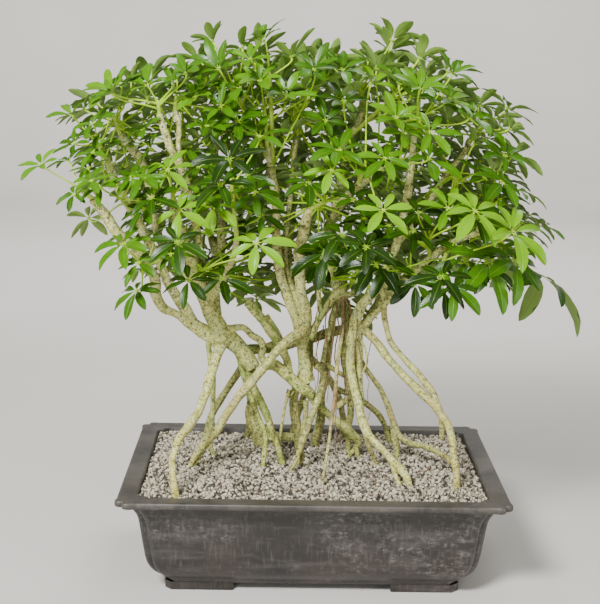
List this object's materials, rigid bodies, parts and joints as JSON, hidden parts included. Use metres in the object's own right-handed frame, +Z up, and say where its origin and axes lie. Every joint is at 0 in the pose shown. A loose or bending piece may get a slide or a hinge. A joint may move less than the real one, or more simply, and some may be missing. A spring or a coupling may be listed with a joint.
{
  "type": "potted bonsai tree",
  "caption": "Umbrella-tree bonsai with a spreading canopy of palmate leaves over pale stems and aerial roots, in an oblong training pot filled with grit.",
  "frame": {"origin": "centre of the whole plant and pot seen from above, on the ground plane under the pot's feet", "axes": "+X to the right along the pot's long side, +Y to the back across its short side, +Z up"},
  "size_m": [0.6928, 0.3724, 0.6842],
  "materials": {
    "pot_plastic": "charcoal plastic, dusty and scuffed, fine moulding texture",
    "screen_plastic": "black moulded mesh",
    "grit": "loose angular chips of 3 to 6 mm, beige, grey and rust, dusty",
    "bark": "smooth pale bark with ring scars, specks and green algae in the forks",
    "root_bark": "smooth cream aerial-root skin with green and pink flushes",
    "leaf": "leathery leaflets, satin above, paler and matt below, lime-green stalks"
  },
  "bodies": {
    "root": {"pot": "pot_plastic", "drainage_screen_left": "screen_plastic", "drainage_screen_right": "screen_plastic", "left_trunk": "bark", "left_back_trunk": "bark", "left_upper_limbs": "bark", "left_low_limbs": "bark", "centre_trunk": "bark", "cross_limb": "bark", "right_trunk": "bark", "right_limbs": "bark", "right_low_limb": "bark", "right_back_limbs": "bark", "aerial_root_left_front": "root_bark", "aerial_root_left_back": "root_bark", "aerial_root_long_front": "root_bark", "aerial_roots_green": "root_bark", "aerial_roots_pale": "root_bark", "aerial_roots_right_outer": "root_bark", "aerial_roots_right_inner": "root_bark", "aerial_root_red": "root_bark", "aerial_roots_centre": "root_bark", "right_root_bundle": "bark", "left_root_base": "bark", "back_roots": "root_bark", "grit_bed": "grit", "leafy_shoot_01": "leaf", "leafy_shoot_02": "leaf", "leafy_shoot_03": "leaf", "leafy_shoot_04": "leaf", "leafy_shoot_05": "leaf", "leafy_shoot_06": "leaf", "leafy_shoot_07": "leaf", "leafy_shoot_08": "leaf", "leafy_shoot_09": "leaf", "leafy_shoot_10": "leaf", "leafy_shoot_11": "leaf", "leafy_shoot_12": "leaf", "leafy_shoot_13": "leaf", "leafy_shoot_14": "leaf", "leafy_shoot_15": "leaf", "leafy_shoot_16": "leaf", "leafy_shoot_17": "leaf", "leafy_shoot_18": "leaf", "leafy_shoot_19": "leaf", "leafy_shoot_20": "leaf", "leafy_shoot_21": "leaf", "leafy_shoot_22": "leaf", "leafy_shoot_23": "leaf", "leafy_shoot_24": "leaf", "leafy_shoot_25": "leaf", "leafy_shoot_26": "leaf", "leafy_shoot_27": "leaf", "leafy_shoot_28": "leaf", "leafy_shoot_29": "leaf", "leafy_shoot_30": "leaf", "leafy_shoot_31": "leaf", "leafy_shoot_32": "leaf", "leafy_shoot_33": "leaf", "leafy_shoot_34": "leaf"}
  },
  "joints": []
}
